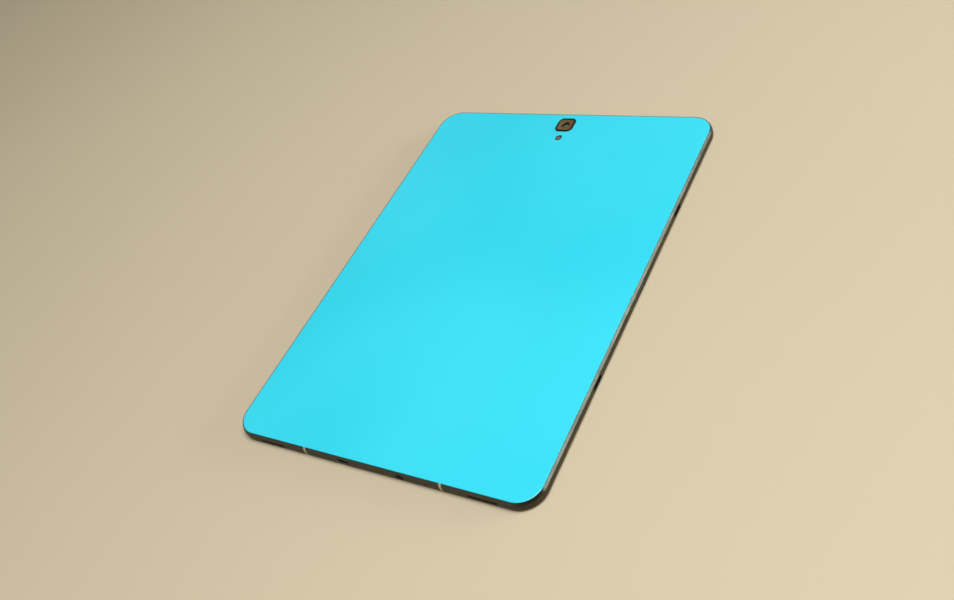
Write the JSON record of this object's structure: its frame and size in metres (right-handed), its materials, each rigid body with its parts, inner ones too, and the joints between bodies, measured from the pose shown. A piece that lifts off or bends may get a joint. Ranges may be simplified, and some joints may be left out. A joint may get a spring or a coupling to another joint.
{
  "type": "tablet computer",
  "caption": "Thin tablet computer with a coloured glass back, rounded metal frame, rear camera, side keys, card tray, charging port and headphone jack.",
  "frame": {"origin": "centre of the front glass's outer face", "axes": "+Z out of the back cover, +Y towards the camera end, +X to the side with the keyboard dock contacts"},
  "size_m": [0.1694, 0.2372, 0.0065],
  "materials": {
    "frame_metal": "anodised satin, polished chamfers",
    "back_glass": "gloss coated glass, colour behind",
    "front_glass": "clear gloss glass",
    "border_print": "black ink behind the glass",
    "display": "dark display",
    "digitizer": "matt film",
    "band_plastic": "moulded plastic",
    "adhesive": "soft black adhesive",
    "magnesium": "matt cast alloy",
    "deco_dark": "dark gloss",
    "deco_bronze": "polished bevel",
    "window_glass": "coated dark glass",
    "lens_glass": "coated lens",
    "flash_lens": "diffusing window",
    "led": "phosphor",
    "black_plastic": "matt moulded",
    "board_green": "solder mask",
    "chip_black": "moulded package",
    "tinned_steel": "tinned sheet",
    "flex_film": "polyimide film",
    "battery_wrap": "foil pouch",
    "gold_contact": "gold plated",
    "dust_mesh": "fine woven mesh",
    "steel": "machined steel",
    "key_metal": "anodised satin",
    "magnet": "nickel plated"
  },
  "bodies": {
    "tablet": {"antenna_bands": "band_plastic", "antenna_coax": "adhesive", "back_cover": "back_glass", "back_cover_adhesive": "adhesive", "battery_adhesive": "adhesive", "battery_board": "board_green", "battery_cells": "battery_wrap", "board_chips": "chip_black", "camera_deco_bevel": "deco_bronze", "camera_deco_ring": "deco_dark", "camera_window": "window_glass", "card_socket": "tinned_steel", "display_flex": "flex_film", "display_panel": "display", "dock_contact_holder": "black_plastic", "dock_contacts": "gold_contact", "dock_flex": "flex_film", "dock_magnets": "magnet", "flash_led": "led", "flash_ring": "deco_dark", "flash_window": "flash_lens", "frame_bottom_bar": "frame_metal", "frame_dock_side": "frame_metal", "frame_key_side": "frame_metal", "frame_top_bar": "frame_metal", "front_camera_body": "black_plastic", "front_camera_lens": "black_plastic", "front_gasket": "adhesive", "front_glass": "front_glass", "glass_border_print": "border_print", "home_key_flex": "flex_film", "home_key_rim": "deco_bronze", "home_key_switch": "steel", "jack_body": "black_plastic", "jack_contacts": "gold_contact", "light_sensor": "black_plastic", "main_flex": "flex_film", "mainboard": "board_green", "microphones": "steel", "mid_plate": "magnesium", "pen_digitizer": "digitizer", "rear_camera_board": "board_green", "rear_camera_housing": "black_plastic", "screws": "steel", "shield_cans": "tinned_steel", "side_key_flex": "flex_film", "side_key_switches": "steel", "speaker_meshes": "dust_mesh", "speaker_modules": "black_plastic", "usb_board": "board_green", "usb_contacts": "gold_contact", "usb_shell": "steel", "usb_tongue": "black_plastic"},
    "power_key": {"power_key": "key_metal"},
    "volume_rocker": {"volume_key": "key_metal"},
    "home_key": {"home_key_cap": "key_metal"},
    "card_tray": {"card_tray": "key_metal", "card_tray_seal": "adhesive"},
    "focus_lens": {"rear_lens_barrel": "black_plastic", "rear_lens_glass": "lens_glass"}
  },
  "joints": [
    {"name": "power_key_press", "type": "slide", "parent": "tablet", "child": "power_key", "axis": [1, 0, 0], "range_m": [0, 0.00025], "stiffness_N_per_m": 400, "springref_m": -0.001},
    {"name": "volume_rock", "type": "hinge", "parent": "tablet", "child": "volume_rocker", "pos_m": [-0.0821, 0.058, 0.003], "axis": [0, 0, 1], "range_deg": [-1.2, 1.2], "stiffness_Nm_per_rad": 0.3},
    {"name": "home_key_press", "type": "slide", "parent": "tablet", "child": "home_key", "axis": [0, 0, 1], "range_m": [0, 0.00025], "stiffness_N_per_m": 400, "springref_m": -0.001},
    {"name": "card_tray_slide", "type": "slide", "parent": "tablet", "child": "card_tray", "axis": [-1, 0, 0], "range_m": [0, 0.024]},
    {"name": "lens_focus", "type": "slide", "parent": "tablet", "child": "focus_lens", "axis": [0, 0, 1], "range_m": [0, 0.00025], "stiffness_N_per_m": 50, "springref_m": -0.0005}
  ]
}
